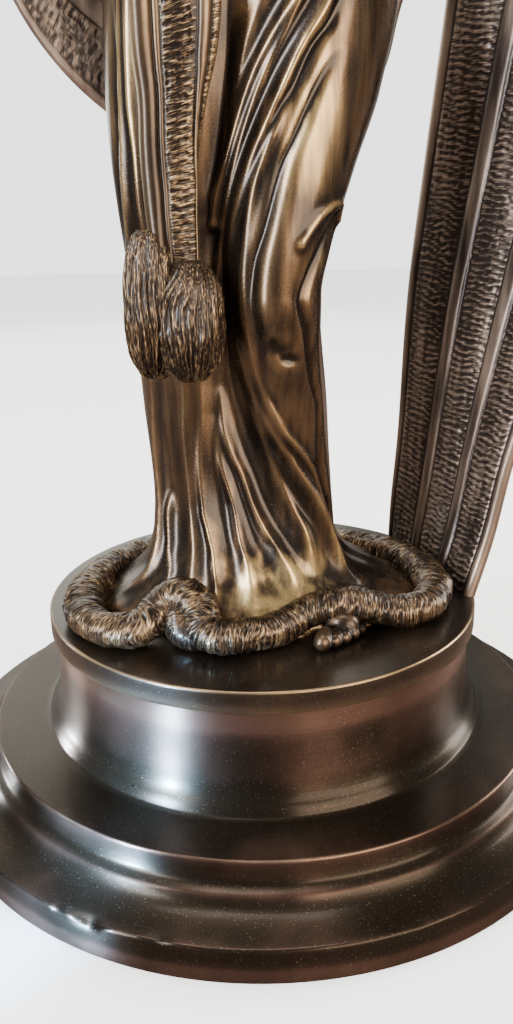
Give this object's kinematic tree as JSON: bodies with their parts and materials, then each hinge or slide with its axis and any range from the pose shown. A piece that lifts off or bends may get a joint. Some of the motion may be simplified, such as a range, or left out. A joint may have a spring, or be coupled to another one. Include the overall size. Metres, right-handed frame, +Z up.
{
  "type": "lady statue",
  "caption": "Bronze lady in a long folded gown with a banded fur stole, cast with a round plate and standing on a turned, stepped socle",
  "frame": {"origin": "the middle of the socle's flat underside, on the floor", "axes": "+Z up through the figure, -Y the way she faces, +X to her left"},
  "size_m": [0.388, 0.351, 0.6668],
  "materials": {
    "lady_bronze": "brown patinated bronze, rubbed golden on the high folds, satin",
    "socle_bronze": "near-black patinated bronze, polished, with worn edges"
  },
  "bodies": {
    "root": {"lady": "lady_bronze", "socle": "socle_bronze"}
  },
  "joints": []
}
